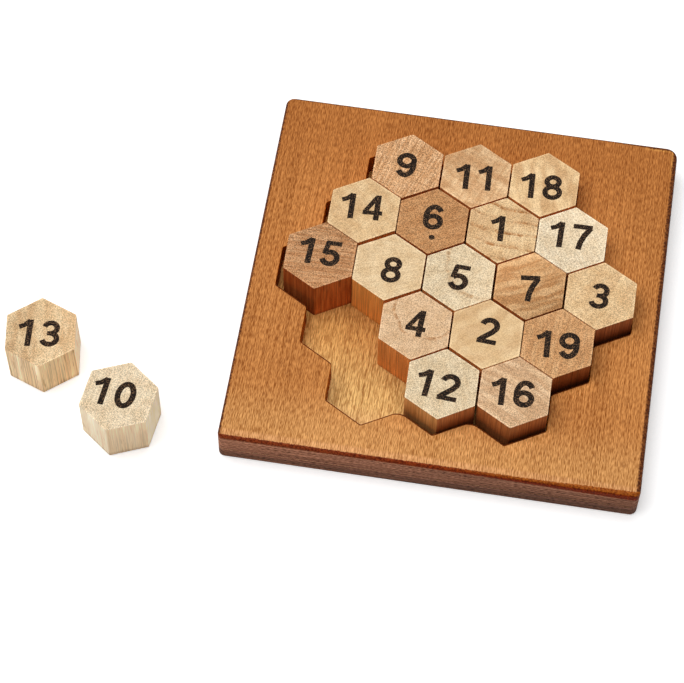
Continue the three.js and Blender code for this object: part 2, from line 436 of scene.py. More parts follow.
def edge_finish(name, deep, light, right, layer):
    finish, tree, where, shader = new_finish(name)
    place = in_millimetres(tree, where)
    axes = add_node(tree, "ShaderNodeSeparateXYZ", {0: place})
    along = arithmetic(tree, "ADD", axes.outputs["X"], axes.outputs["Y"])
    laid = add_node(tree, "ShaderNodeCombineXYZ", {0: axes.outputs["Z"], 1: along, 2: 0.0}).outputs[0]
    plies = stretched_noise(tree, laid, (0.5, 45, 1), 2)
    scratches = stretched_noise(tree, laid, (0.4, 1.4, 1), 2)
    tone = arithmetic(tree, "MULTIPLY", remap(tree, plies, 0.4, 0.6), 0.5)
    tone = arithmetic(tree, "MULTIPLY_ADD", remap(tree, scratches, 0.38, 0.62), 0.5, tone)
    wood = mix_colours(tree, tone, deep, light)
    layer_from, layer_to, layer_tint = layer
    wood = tinted(tree, remap(tree, axes.outputs["Z"], layer_from, layer_to), wood, layer_tint)
    edge = place_group(tree, edge_distance, {"Place": place})
    wood = tinted(tree, remap(tree, edge["Across"], -1.0, 0.8), wood, right)
    share, stain = front_band(tree, place, edge)
    wood = mix_colours(tree, share, wood, stain)
    tree.links.new(wood, shader.inputs["Base Color"])
    shader.inputs["Roughness"].default_value = 0.65
    raise_fibres(tree, shader, tone, saw_mark_depth)
    return finish


plate_edge = edge_finish(
    "sawn_edge_upper",
    colour(0.082, 0.024, 0.01),
    colour(0.69, 0.295, 0.165),
    right=colour(0.72, 0.74, 0.75),
    layer=(8.5, 5.0, colour(0.7, 0.68, 0.68)),
)
base_edge = edge_finish(
    "sawn_edge_lower",
    colour(0.0325, 0.0115, 0.0058),
    colour(0.33, 0.138, 0.078),
    right=colour(0.74, 0.79, 0.86),
    layer=(2.9, 4.1, colour(1.52, 1.5, 1.55)),
)
print("finishes", plate_edge.name, "and", base_edge.name)

# %% [markdown]
# ## Inside the pocket
# The walls of the pocket are sawn and stained a deep orange brown, with upright saw marks.
# Along the front rim a dark line is painted: mostly painted shade where the wall below
# faces away, with some dark stain. The floor is the same kind of veneer as the top of the
# board, paler and yellower, and it is lighter to the front. Painted light makes it lighter
# to the left as well, against the shadow of the left wall. It reads the long grain at
# another place, so that its streaks don't repeat those of the board above it.

# %% Finish: pocket wall
pocket_wall, tree, where, shader = new_finish("pocket_wall")
place = in_millimetres(tree, where)
saw_marks = stretched_noise(tree, place, (0.6, 0.6, 9), 2)
shade = remap(tree, saw_marks, 0.3, 0.7)
wall = mix_colours(tree, shade, colour(0.18, 0.035, 0.0015), colour(0.46, 0.112, 0.005))
tree.links.new(wall, shader.inputs["Base Color"])
shader.inputs["Roughness"].default_value = 0.6
raise_fibres(tree, shader, shade, saw_mark_depth)
print("finish", pocket_wall.name)

# %% Finish: painted shade on the front rim of the pocket
painted_shade_rim, tree, where, shader = new_finish("painted_shade_rim")
place = in_millimetres(tree, where)
shade = remap(tree, stretched_noise(tree, place, (0.8, 0.8, 0.8), 2), 0.35, 0.65)
# Painted shade with some dark stain: the thin dark line along the front rim.
rim = mix_colours(tree, shade, colour(0.07, 0.01, 0.0003), colour(0.17, 0.034, 0.001))
tree.links.new(rim, shader.inputs["Base Color"])
shader.inputs["Roughness"].default_value = 0.7
shader.inputs["Specular IOR Level"].default_value = 0.1
print("finish", painted_shade_rim.name)

# %% Finish: pocket floor
other_grain = (310, 110, 20)
floor_back = colour(0.75, 0.6, 0.48)
painted_light_floor_left = colour(1.29, 1.36, 1.43)
floor_front = colour(1.12, 1.12, 1.28)

pocket_floor, tree, where, shader = new_finish("pocket_floor")
place = in_millimetres(tree, where)
moved = vectors(tree, "ADD", place, other_grain)
grain = place_group(tree, long_grain, {"Place": moved})
deep = colour(0.33, 0.132, 0.025)
light = colour(0.95, 0.6, 0.225)
wood = veneer_colour(tree, grain, deep, light, colour(0.22, 0.08, 0.02))
edge = place_group(tree, edge_distance, {"Place": place})
wood = tinted(tree, remap(tree, edge["Back"], -0.64, -0.25), wood, floor_back)
# Painted light: lighter to the left, against the shadow of the left wall.
wood = tinted(tree, remap(tree, edge["Across"], -0.4, -0.72), wood, painted_light_floor_left)
wood = tinted(tree, remap(tree, edge["Back"], -0.64, -0.78), wood, floor_front)
tree.links.new(wood, shader.inputs["Base Color"])
tree.links.new(remap(tree, grain["Fibres"], 0, 1, 0.45, 0.58), shader.inputs["Roughness"])
raise_fibres(tree, shader, grain["Fibres"], fibre_height)
print("finish", pocket_floor.name, "with", len(tree.nodes), "nodes")

# %% [markdown]
# ## Modelling helpers
# Operators act on whatever is selected, so each helper starts by leaving one piece
# selected. Edges are picked in code by where they are, and then rounded with the bevel
# operator, just as one would click them in edit mode.

# %% Modelling helpers
near_enough = 0.01 * MM


def only(piece):
    if bpy.context.object and bpy.context.object.mode == "EDIT":
        bpy.ops.object.mode_set(mode="OBJECT")
    bpy.ops.object.select_all(action="DESELECT")
    piece.select_set(True)
    bpy.context.view_layer.objects.active = piece


def pick_edges(piece, wanted):
    only(piece)
    bpy.ops.object.mode_set(mode="EDIT")
    bpy.ops.mesh.select_mode(type="EDGE")
    bpy.ops.mesh.select_all(action="DESELECT")
    bpy.ops.object.mode_set(mode="OBJECT")
    points = piece.data.vertices
    for edge in piece.data.edges:
        start, end = edge.vertices
        edge.select = wanted(points[start].co, points[end].co)
    bpy.ops.object.mode_set(mode="EDIT")


def bevel_picked(reach, steps):
    bpy.ops.mesh.bevel(offset=reach, segments=steps, profile=0.5, affect="EDGES", clamp_overlap=False)
    bpy.ops.object.mode_set(mode="OBJECT")


def round_edges(piece, wanted, reach, steps):
    pick_edges(piece, wanted)
    bevel_picked(reach, steps)


def apply_modifier(piece, kind, **settings):
    only(piece)
    modifier = piece.modifiers.new(kind.lower(), kind)
    for name, value in settings.items():
        setattr(modifier, name, value)
    bpy.ops.object.modifier_apply(modifier=modifier.name)


def smooth_rounded(piece, degrees=32):
    only(piece)
    bpy.ops.object.shade_smooth_by_angle(angle=math.radians(degrees))
    apply_modifier(piece, "WEIGHTED_NORMAL", keep_sharp=True)


def draw_line(points):
    bpy.ops.object.select_all(action="DESELECT")
    bpy.ops.mesh.primitive_plane_add(size=0.1)
    drawn = bpy.context.object
    bpy.ops.object.mode_set(mode="EDIT")
    bpy.ops.mesh.select_mode(type="VERT")
    bpy.ops.mesh.select_all(action="SELECT")
    bpy.ops.mesh.merge(type="CENTER")
    bpy.ops.transform.translate(value=(*points[0], 0))
    for start, end in zip(points, points[1:]):
        step = (end[0] - start[0], end[1] - start[1], 0)
        bpy.ops.mesh.extrude_region_move(TRANSFORM_OT_translate={"value": step})
    bpy.ops.mesh.select_all(action="SELECT")
    return drawn


def face_outwards():
    bpy.ops.mesh.select_all(action="SELECT")
    bpy.ops.mesh.normals_make_consistent(inside=False)
    bpy.ops.object.mode_set(mode="OBJECT")


def upright(start, end):
    return abs(start.z - end.z) > 1 * MM and (start.xy - end.xy).length < near_enough


def at_height(height):
    return lambda start, end: max(abs(start.z - height), abs(end.z - height)) < near_enough


# %% [markdown]
# ## The two panels of the board
# A panel starts as a cube of its own size. The four upright corners are rounded first,
# each a little differently, as hand sanding left them. Then the top edge of the upper
# plate gets its rounding, and both panels get a fine bevel where they are glued, which
# draws the joint as a thin dark line.

# %% Panels
corner_rounding = {(-1, -1): 2.2, (1, -1): 2.6, (1, 1): 4.0, (-1, 1): 3.0}
top_rounding = 1.3 * MM
glue_bevel = 0.2 * MM
bottom_bevel = 0.3 * MM


def corner_picker(side, end):
    def picked(start, stop):
        beyond_side = start.x * side > board_width / 2 - 1 * MM
        beyond_end = start.y * end > board_depth / 2 - 1 * MM
        return upright(start, stop) and beyond_side and beyond_end

    return picked


def board_panel(name, low, high):
    bpy.ops.object.select_all(action="DESELECT")
    bpy.ops.mesh.primitive_cube_add(size=1, location=(0, 0, (low + high) / 2))
    panel = bpy.context.object
    panel.name = name
    panel.scale = (board_width, board_depth, high - low)
    bpy.ops.object.transform_apply(location=True, rotation=False, scale=True)
    for (side, end), radius in corner_rounding.items():
        round_edges(panel, corner_picker(side, end), radius * MM, 7)
    return panel


plate = board_panel("board_plate", glue_height, board_top)
round_edges(plate, at_height(board_top), top_rounding, 6)
round_edges(plate, at_height(glue_height), glue_bevel, 2)
base = board_panel("board_bottom", board_low.z, glue_height)
round_edges(base, at_height(glue_height), glue_bevel, 2)
round_edges(base, at_height(board_low.z), bottom_bevel, 3)
print("panels", len(plate.data.polygons), "and", len(base.data.polygons), "faces")

# %% [markdown]
# ## The pocket
# The pocket is the outline of nineteen hexagonal seats. Nineteen six-sided cylinders
# could be joined with Boolean unions, but their flat ends lie in one plane, where unions
# easily leave loose faces. So the zigzag is drawn as one line. Its corners are the
# corners of the seats and the crossings of two seats' sides, if no other seat covers
# them. The line is filled and pulled up into a cutter. Its upright edges are rounded
# before the cut: the points of wood between two seats were sanded rounder than the
# corners, most of all along the front and the back.

# %% Cutter for the pocket
seat_pitch = 23.9 * MM
seat_wall = 13.05 * MM
pocket_middle = -1.1 * MM
seat_corner_radius = 0.8 * MM
side_point_radius = 1.8 * MM
end_point_radius = 4.5 * MM
ends_from = 45 * MM
cutter_height = 20 * MM
seats = []
for row, count in enumerate((3, 4, 5, 4, 3)):
    for column in range(count):
        across = (column - (count - 1) / 2) * seat_pitch
        along = (2 - row) * seat_pitch * math.sqrt(3) / 2
        seats.append(Vector((across, along + pocket_middle)))


def inside_seat(point, seat, wall):
    way = point - seat
    facings = [math.radians(degrees) for degrees in (0, 60, 120)]
    return all(abs(way.x * math.cos(a) + way.y * math.sin(a)) < wall - near_enough for a in facings)


def pocket_outline(wall):
    points = []
    crossing_reach = (wall - seat_pitch / 4) / math.cos(math.radians(30))
    for seat in seats:
        for degrees in range(30, 360, 60):
            arm = Vector((math.cos(math.radians(degrees)), math.sin(math.radians(degrees))))
            points.append(seat + arm * wall * 2 / math.sqrt(3))
        for other in seats:
            apart = other - seat
            if 0 < apart.length < 1.1 * seat_pitch:
                aside = Vector((-apart.y, apart.x)).normalized()
                points.append((seat + other) / 2 + aside * crossing_reach)
    outer = [point for point in points if not any(inside_seat(point, seat, wall) for seat in seats)]
    return sorted(outer, key=lambda point: math.atan2(point.y - pocket_middle, point.x))


def rounding_reach(radius):
    return radius * math.tan(math.radians(30))


def pocket_cutter(wall, low):
    cutter = draw_line(pocket_outline(wall))
    bpy.ops.mesh.edge_face_add()
    bpy.ops.transform.translate(value=(0, 0, low))
    bpy.ops.mesh.extrude_region_move(TRANSFORM_OT_translate={"value": (0, 0, cutter_height)})
    face_outwards()
    corner_way = wall * 2 / math.sqrt(3) - 0.1 * MM

    def at_corner(point):
        return min((point.xy - seat).length for seat in seats) > corner_way

    def corner_edge(start, stop):
        return upright(start, stop) and at_corner(start)

    def side_point(start, stop):
        return upright(start, stop) and not at_corner(start) and abs(start.y) <= ends_from

    def end_point(start, stop):
        return upright(start, stop) and not at_corner(start) and abs(start.y) > ends_from

    round_edges(cutter, side_point, rounding_reach(side_point_radius), 5)
    round_edges(cutter, end_point, rounding_reach(end_point_radius), 8)
    round_edges(cutter, corner_edge, rounding_reach(seat_corner_radius), 4)
    return cutter


print("pocket of", len(seats), "seats, outline of", len(pocket_outline(seat_wall)), "points")


# %% [markdown]
# The rim of the cut is eased with a fine bevel. Along the front a dark line of about half
# a millimetre is painted: mostly shade where the wall below faces away, with some dark
# stain. The same cutter, moved that far to the front and hardly let into the plate,
# leaves a strip of faces of just that width, which can then have a finish of its own. It
# is made a hair narrower, so that its sides don't lie in the walls of the first cut.

# %% Cut the plate and ease the rim
rim_width = 0.54 * MM
rim_depth = 0.05 * MM
rim_bevel = 0.2 * MM
hair = 0.02 * MM
pocket_margin = 5 * MM


def in_pocket(point):
    within_width = abs(point.x) < board_width / 2 - pocket_margin
    return within_width and abs(point.y) < board_depth / 2 - pocket_margin


def pocket_rim(start, stop):
    return in_pocket(start) and in_pocket(stop) and at_height(board_top)(start, stop)


def cut_plate(wall, low, forward):
    cutter = pocket_cutter(wall, low)
    only(cutter)
    bpy.ops.transform.translate(value=(0, -forward, 0))
    apply_modifier(plate, "BOOLEAN", operation="DIFFERENCE", solver="EXACT", object=cutter)
    bpy.data.objects.remove(cutter)


cut_plate(seat_wall, 0.0, 0.0)
round_edges(plate, pocket_rim, rim_bevel, 2)
cut_plate(seat_wall - hair, board_top - rim_depth, rim_width)
smooth_rounded(plate)
smooth_rounded(base)
print("plate with pocket", len(plate.data.polygons), "faces")

# %% [markdown]
# ## Dressing the board
# One mesh can carry several materials. Each face is given its own by the way it faces
# and where it is: veneer on top, sawn layers outside, stained walls inside, and the strip
# of painted shade on the front rim.

# %% Materials on the board
def dress(piece, finishes, choose):
    for finish in finishes:
        piece.data.materials.append(finish)
    for face in piece.data.polygons:
        face.material_index = choose(face)


def plate_face(face):
    if in_pocket(face.center) and face.center.z < board_top - rim_depth / 2:
        return 3 if face.normal.z > 0.95 else 2
    if face.normal.z > 0.05:
        return 0
    return 1


def base_face(face):
    return 0 if abs(face.normal.z) > 0.9 else 1


dress(plate, [veneer, plate_edge, pocket_wall, painted_shade_rim], plate_face)
dress(base, [pocket_floor, base_edge], base_face)
for piece, node, slot in ((plate, "board_frame", "board_plate"), (base, "board_base", "board_base")):
    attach(piece, "board")
    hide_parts(node)
print("board in", len(plate.data.materials), "and", len(base.data.materials), "finishes")

# %% [markdown]
# ## Wood across the grain
# The tiles are slices of a hexagonal rod, so their tops show end grain: growth rings as
# wide arcs, fine rays that cross them, pores as dots, and a fine speckle. The grain runs
# along Z. A noise drawn out along Z gives dots on top and streaks down the sides at
# once, which no flat picture would. The rings are circles round the middle of the tree,
# which lies outside the tile in most of them.

# %% Node group: end grain
end_grain, taken, given = new_group(
    "end_grain",
    [
        ("Place", "NodeSocketVector", None),
        ("Shift", "NodeSocketVector", None),
        ("Tree", "NodeSocketVector", None),
        ("Reach", "NodeSocketFloat", 50.0),
        ("Ring Width", "NodeSocketFloat", 2.5),
        ("Ring Start", "NodeSocketFloat", 0.0),
        ("Ring Edge", "NodeSocketFloat", 0.35),
        ("Ray Width", "NodeSocketFloat", 0.6),
    ],
    ["Rings", "Layers", "Rays", "Pores", "Speckle", "Clouds", "Marks"],
)


def combined(x, y, z):
    return add_node(end_grain, "ShaderNodeCombineXYZ", {0: x, 1: y, 2: z}).outputs[0]


shifted = vectors(end_grain, "ADD", taken.outputs["Place"], taken.outputs["Shift"])
outward = vectors(end_grain, "SUBTRACT", taken.outputs["Place"], taken.outputs["Tree"])
axes = add_node(end_grain, "ShaderNodeSeparateXYZ", {0: outward})
level = combined(axes.outputs["X"], axes.outputs["Y"], 0.0)
radius = add_node(end_grain, "ShaderNodeVectorMath", {0: level}, operation="LENGTH").outputs[1]
waver = stretched_noise(end_grain, shifted, (7, 7, 50), 2)
bent = arithmetic(end_grain, "MULTIPLY_ADD", waver, 3.5, radius)
turns = arithmetic(end_grain, "DIVIDE", bent, taken.outputs["Ring Width"])
turns = arithmetic(end_grain, "ADD", turns, taken.outputs["Ring Start"])
part = arithmetic(end_grain, "FRACT", turns)
rise = remap(end_grain, part, taken.outputs["Ring Edge"], 0.9)
fall = remap(end_grain, part, 0.92, 1.0, 1.0, 0.0)
angle = arithmetic(end_grain, "ARCTAN2", axes.outputs["Y"], axes.outputs["X"])
around = arithmetic(end_grain, "MULTIPLY", angle, taken.outputs["Reach"])
dashes = combined(around, radius, axes.outputs["Z"])
gaps = remap(end_grain, stretched_noise(end_grain, dashes, (0.9, 5, 60), 1), 0.55, 0.3, 0.0, 0.7)
broken = arithmetic(end_grain, "SUBTRACT", 1.0, gaps)
coming = remap(end_grain, stretched_noise(end_grain, shifted, (6, 6, 60), 1), 0.35, 0.62, 0.3, 1.0)
rings = arithmetic(end_grain, "MULTIPLY", arithmetic(end_grain, "MULTIPLY", rise, fall), broken)
rings = arithmetic(end_grain, "MULTIPLY", rings, coming)
laid = combined(around, turns, axes.outputs["Z"])
layers = stretched_noise(end_grain, laid, (16, 1, 60), 3)
turned = arithmetic(end_grain, "DIVIDE", around, taken.outputs["Ray Width"])
fan = combined(turned, radius, axes.outputs["Z"])
rays = stretched_noise(end_grain, fan, (1, 9, 12), 1)
pores = stretched_noise(end_grain, shifted, (0.36, 0.36, 14), 1)
speckle = stretched_noise(end_grain, shifted, (0.36, 0.36, 30), 1)
clouds = stretched_noise(end_grain, shifted, (5, 5, 60), 2)
marks = stretched_noise(end_grain, shifted, (0.8, 0.8, 6), 1)
end_grain.links.new(rings, given.inputs["Rings"])
end_grain.links.new(remap(end_grain, layers, 0.38, 0.62), given.inputs["Layers"])
end_grain.links.new(remap(end_grain, rays, 0.32, 0.68), given.inputs["Rays"])
end_grain.links.new(remap(end_grain, pores, 0.58, 0.7), given.inputs["Pores"])
end_grain.links.new(remap(end_grain, speckle, 0.28, 0.72), given.inputs["Speckle"])
end_grain.links.new(remap(end_grain, clouds, 0.3, 0.7), given.inputs["Clouds"])
end_grain.links.new(remap(end_grain, marks, 0.6, 0.72), given.inputs["Marks"])
print("group", end_grain.name, "with", len(end_grain.nodes), "nodes")

# %% [markdown]
# A painted highlight makes the rim of each top a little paler than the rest. How far a
# point is from the rim of a hexagon is again plain arithmetic: the way out is measured in
# the three directions that its sides face, and the longest of the three counts.

# %% Node group: painted rim highlight
tile_width = 23.3
painted_rim_highlight, taken, given = new_group("painted_rim_highlight", [("Place", "NodeSocketVector", None)], ["Rim"])
way_out = 0.0
for degrees in (0, 60, 120):
    facing = level_direction(math.radians(degrees))
    way = way_along(painted_rim_highlight, taken.outputs["Place"], facing)
    way_out = arithmetic(painted_rim_highlight, "MAXIMUM", arithmetic(painted_rim_highlight, "ABSOLUTE", way), way_out)
rubbed = stretched_noise(painted_rim_highlight, taken.outputs["Place"], (2, 2, 2), 2)
way_out = arithmetic(painted_rim_highlight, "MULTIPLY_ADD", rubbed, 0.6, way_out)
painted_rim_highlight.links.new(remap(painted_rim_highlight, way_out, tile_width / 2 - 0.4, tile_width / 2), given.inputs["Rim"])
print("group", painted_rim_highlight.name, "with", len(painted_rim_highlight.nodes), "nodes")

# %% [markdown]
# ## A wood for every tile
# The tiles come from different rods, from pale cream to brown, and no two show the same
# rings. A few named woods give the colour. Each tile then says where its tree's middle
# lies, how wide its rings and rays are, and how strongly rings, soft layers, rays, pores
# and speckle show on its top, and streaks and marks on its sides. Its slant makes it
# lighter towards one side, as heartwood gives way to sapwood.
#
# The sides need more. In the pocket they are lit by light that has come off the stained
# wood round them, which turns them orange brown, more so lower down. One lamp gives too
# little of that, so it is painted into the finish as light and shade: a tint for all
# sides, one each for those that face left, front and right, and painted shade that fades
# to dark at the foot. On the table the sides get painted light for the bounce off the
# white paper, and every side is a little darker at its very foot, painted shade where it
# stands. Sides in a gap between two tiles have painted shade of their own, one for open
# gaps and one for tiles that touch.

# %% Woods and tile looks
woods = {
    "ivory": (0.81, 0.67, 0.465),
    "cream": (0.79, 0.63, 0.41),
    "butter": (0.79, 0.585, 0.345),
    "straw": (0.77, 0.545, 0.3),
    "peach": (0.745, 0.51, 0.305),
    "tan": (0.72, 0.48, 0.265),
    "rosy": (0.68, 0.42, 0.227),
    "hazel": (0.625, 0.375, 0.18),
    "nut": (0.63, 0.36, 0.17),
    "umber": (0.54, 0.3, 0.15),
    "brown": (0.55, 0.29, 0.128),
}


def look(wood, tree, **changes):
    usual = {
        "ring_width": 5.0,
        "ring_start": 0.0,
        "ring_edge": 0.35,
        "late": (0.64, 0.48, 0.36),
        "rings": 0.1,
        "layers": 0.0,
        "ray_width": 0.5,
        "rays": 0.2,
        "speckle": 0.75,
        "streaks": 0.6,
        "marks": 0.25,
        "pores": 0.3,
        "pale": 1.0,
        "slant": (0.0, 0.0),
        # side, left, front, right and fade: painted light and shade on the sides
        "side": 1.0,
        "left": (1.0, 1.0, 1.0),
        "front": (1.0, 1.0, 1.0),
        "right": (1.0, 1.0, 1.0),
        "fade": 0.0,
    }
    return {"wood": wood, "tree": tree, **usual, **changes}


looks = {
    "01": look(
        "straw",
        (6, 45),
        ring_width=5.2,
        ring_start=0.58,
        ring_edge=0.6,
        rings=1.0,
        layers=0.3,
        late=(0.5, 0.3, 0.18),
        pale=1.06,
    ),
    "02": look("straw", (-80, 80), rings=0.06, layers=0.4, rays=0.08, pores=0.05, speckle=0.35, pale=1.03),
    "03": look(
        "straw",
        (-60, 40),
        ring_width=3,
        layers=0.3,
        pores=0.14,
        pale=1.02,
        side=0.65,
        front=(1.0, 0.84, 1.25),
        fade=1.0,
    ),
    "04": look("peach", (3, 6), ring_width=13.5, ring_edge=0.88, rings=0.85, pores=0.4, side=1.35, pale=0.99),
    "05": look(
        "cream", (9, 6), ring_width=17, ring_edge=0.86, rings=0.85, pores=0.42, slant=(0.006, 0.0), pale=0.98
    ),
    "06": look(
        "brown", (60, -100), ring_width=1.6, rings=0.1, layers=0.35, rays=0.25, speckle=1.0, pale=1.03
    ),
    "07": look(
        "hazel", (-60, 115), ring_width=2.6, rings=0.1, layers=0.8, rays=0.1, slant=(-0.01, 0.016), pale=1.12
    ),
    "08": look(
        "butter", (90, 30), rings=0.1, pores=0.14, speckle=0.5, side=1.45, left=(0.95, 1.0, 0.93), pale=0.98
    ),
    "09": look(
        "rosy",
        (-30, -110),
        ring_width=0.9,
        late=(0.62, 0.49, 0.38),
        rings=0.25,
        layers=0.4,
        rays=0.85,
        speckle=1.1,
        pale=1.17,
    ),
    "10": look(
        "ivory",
        (0, -80),
        ring_width=7,
        rings=0.2,
        layers=0.1,
        pores=0.5,
        streaks=0.3,
        marks=0.3,
        left=(0.98, 1.03, 1.1),
        front=(0.97, 0.94, 0.91),
        right=(1.19, 1.31, 1.37),
        fade=0.22,
    ),
    "11": look(
        "tan",
        (40, 90),
        ring_width=3.5,
        late=(0.64, 0.5, 0.4),
        layers=0.75,
        ray_width=1.2,
        rays=0.55,
        speckle=0.6,
        slant=(0.0, -0.006),
        pale=1.14,
    ),
    "12": look(
        "cream",
        (40, -90),
        rings=0.06,
        pores=0.4,
        pale=0.94,
        left=(1.0, 1.06, 1.2),
        front=(0.88, 0.7, 0.82),
        fade=1.0,
    ),
    "13": look(
        "butter",
        (-140, 0),
        ring_width=4,
        layers=0.55,
        slant=(0.009, 0.0),
        pores=0.5,
        pale=0.99,
        marks=0.5,
        front=(0.81, 0.77, 0.72),
        right=(1.14, 1.29, 1.53),
        fade=0.15,
    ),
    "14": look("straw", (-50, -60), rings=0.1, layers=0.28, pores=0.35, speckle=0.6, pale=1.01),
    "15": look(
        "umber",
        (220, 0),
        rays=0.75,
        layers=0.15,
        speckle=1.0,
        slant=(0.0, -0.006),
        pale=1.08,
        side=1.13,
        left=(0.65, 0.56, 0.6),
        front=(1.03, 1.04, 1.2),
    ),
    "16": look(
        "peach",
        (-40, -70),
        ring_width=2.3,
        rings=0.1,
        late=(0.64, 0.54, 0.47),
        layers=0.7,
        speckle=0.75,
        pale=1.06,
        side=0.74,
        left=(0.87, 0.78, 0.88),
        front=(1.16, 1.1, 1.4),
        fade=1.0,
    ),
    "17": look("ivory", (-30, 50), layers=0.06, rays=0.24, pores=0.32, slant=(0.004, 0.006), pale=1.07),
    "18": look(
        "straw",
        (12, -95),
        late=(0.64, 0.5, 0.4),
        layers=0.16,
        ray_width=2.4,
        rays=0.65,
        speckle=0.55,
        pores=0.15,
        pale=1.12,
    ),
    "19": look(
        "nut",
        (-10, -160),
        layers=0.15,
        ray_width=1.1,
        rays=0.45,
        speckle=0.95,
        pale=1.05,
        side=0.576,
        front=(1.1, 1.05, 1.4),
        fade=1.0,
    ),
}
print("looks for", len(looks), "tiles in", len(woods), "woods")

# %% Painted light and shade of the sides
painted_light_in_pocket = (0.9, 0.5, 0.22)
painted_light_on_table = {"10": (1.54, 1.53, 1.52), "13": (1.74, 1.9, 2.1)}
painted_shade_in_gap = (0.95, 0.5, 0.22)
painted_shade_touching = (1.2, 1.1, 1.0)
painted_shade_faded = (0.3, 0.22, 0.18)
side_mark = colour(0.5, 0.38, 0.28)
painted_shade_foot = colour(0.84, 0.81, 0.8)
touching_tiles = [
    ("01", "17"), ("02", "05"), ("02", "16"), ("02", "19"), ("03", "19"), ("06", "14"),
    ("07", "17"), ("08", "15"), ("09", "14"), ("14", "15"), ("16", "19"),
]
print("touching", len(touching_tiles), "pairs of tiles")

# %% Finish: a tile's wood
dark_cloud = (0.95, 0.925, 0.89)
light_cloud = (1.07, 1.095, 1.13)
pore_tone = (0.5, 0.38, 0.3)
rim_highlight_tint = colour(1.13, 1.15, 1.18)


def scaled_tone(tone, red, green, blue):
    return colour(tone[0] * red, tone[1] * green, tone[2] * blue)


def laid_over(tree, wood, mask, strength, tone):
    return mix_colours(tree, arithmetic(tree, "MULTIPLY", mask, strength), wood, tone)


def tile_finish(number, middle, turn):
    look_here = looks[number]
    tone = [channel * look_here["pale"] for channel in woods[look_here["wood"]]]
    finish, tree, where, shader = new_finish("tile_wood_" + number)
    place = in_millimetres(tree, where, middle=middle, turn=(0, 0, turn))
    shift = int(number) * 37.0
    grain = place_group(
        tree,
        end_grain,
        {
            "Place": place,
            "Shift": (shift, shift / 2, 0),
            "Tree": (*look_here["tree"], 0),
            "Reach": max(Vector(look_here["tree"]).length, 9.0),
            "Ring Width": look_here["ring_width"],
            "Ring Start": look_here["ring_start"],
            "Ring Edge": look_here["ring_edge"],
            "Ray Width": look_here["ray_width"],
        },
    )
    late = scaled_tone(tone, *look_here["late"])
    darker = scaled_tone(tone, *dark_cloud)
    lighter = scaled_tone(tone, *light_cloud)
    wood = mix_colours(tree, grain["Clouds"], darker, lighter)
    wood = laid_over(tree, wood, grain["Rings"], look_here["rings"], late)
    wood = laid_over(tree, wood, grain["Layers"], look_here["layers"], late)
    wood = laid_over(tree, wood, grain["Rays"], look_here["rays"], late)
    wood = laid_over(tree, wood, grain["Pores"], look_here["pores"], scaled_tone(tone, *pore_tone))
    faces = add_node(tree, "ShaderNodeTexCoord").outputs["Normal"]
    facing = add_node(tree, "ShaderNodeSeparateXYZ", {0: faces})
    upward = facing.outputs["Z"]
    slant = way_along(tree, place, (*look_here["slant"], 0))
    swing = remap(tree, upward, 0.4, 0.8, look_here["streaks"], look_here["speckle"])
    either_way = arithmetic(tree, "SUBTRACT", grain["Speckle"], 0.5)
    shade = arithmetic(tree, "MULTIPLY_ADD", either_way, swing, 1.0)
    shade = arithmetic(tree, "ADD", shade, slant)
    shade_colour = add_node(tree, "ShaderNodeCombineColor", {0: shade, 1: shade, 2: shade}).outputs[0]
    wood = tinted(tree, 1.0, wood, shade_colour)
    # The sides get painted light and shade: tints by the way they face, painted shade fading to dark at the
    # foot, and painted shade in the gaps.
    on_side = remap(tree, upward, 0.15, 0.35, 1.0, 0.0)
    side_shift = painted_light_on_table.get(number, painted_light_in_pocket)
    strength = [channel * look_here["side"] for channel in side_shift]
    height = add_node(tree, "ShaderNodeSeparateXYZ", {0: place}).outputs["Z"]
    from_left = remap(tree, facing.outputs["X"], -0.3, 0.3)
    from_front = remap(tree, facing.outputs["X"], 0.7, 0.95)
    lower = arithmetic(tree, "MULTIPLY", remap(tree, height, 8.0, -1.0), look_here["fade"])
    lower = arithmetic(tree, "MULTIPLY", lower, remap(tree, from_left, 0, 1, 0.5, 1.0))
    side = mix_colours(tree, lower, colour(*strength), scaled_tone(strength, *painted_shade_faded))
    turned = mix_colours(tree, from_left, colour(*look_here["left"]), colour(*look_here["front"]))
    turned = mix_colours(tree, from_front, turned, colour(*look_here["right"]))
    side = tinted(tree, 1.0, side, turned)
    dash = arithmetic(tree, "MULTIPLY", grain["Marks"], look_here["marks"])
    side = tinted(tree, dash, side, side_mark)
    side = tinted(tree, remap(tree, height, -6.5, -8.4), side, painted_shade_foot)
    tight = add_node(tree, "ShaderNodeAttribute", attribute_name="tight").outputs["Fac"]
    touching = add_node(tree, "ShaderNodeAttribute", attribute_name="touching").outputs["Fac"]
    gap = mix_colours(tree, touching, colour(*painted_shade_in_gap), colour(*painted_shade_touching))
    side = mix_colours(tree, tight, side, gap)
    # Painted highlight on the rim of the top.
    rim = place_group(tree, painted_rim_highlight, {"Place": place})["Rim"]
    rim = arithmetic(tree, "MULTIPLY", rim, arithmetic(tree, "SUBTRACT", 1.0, on_side))
    wood = tinted(tree, rim, wood, rim_highlight_tint)
    wood = tinted(tree, on_side, wood, side)
    tree.links.new(wood, shader.inputs["Base Color"])
    shader.inputs["Roughness"].default_value = 0.75
    shader.inputs["Specular IOR Level"].default_value = 0.04
    raise_fibres(tree, shader, grain["Speckle"], 0.03)
    return finish


# %% [markdown]
# ## The tiles
# One blank is modelled: a six-sided cylinder with its upright edges and its rims eased.
# The sawn rims are nearly sharp, so their bevel is small, and the gaps between the tiles
# stay narrow and dark. Every tile is a copy of the blank, moved to where the CAD tile of
# that number stands. No two real blocks are quite alike. Where two of them touch, the
# sides that meet are each moved out by half of the gap, all but a thin dark line of it.

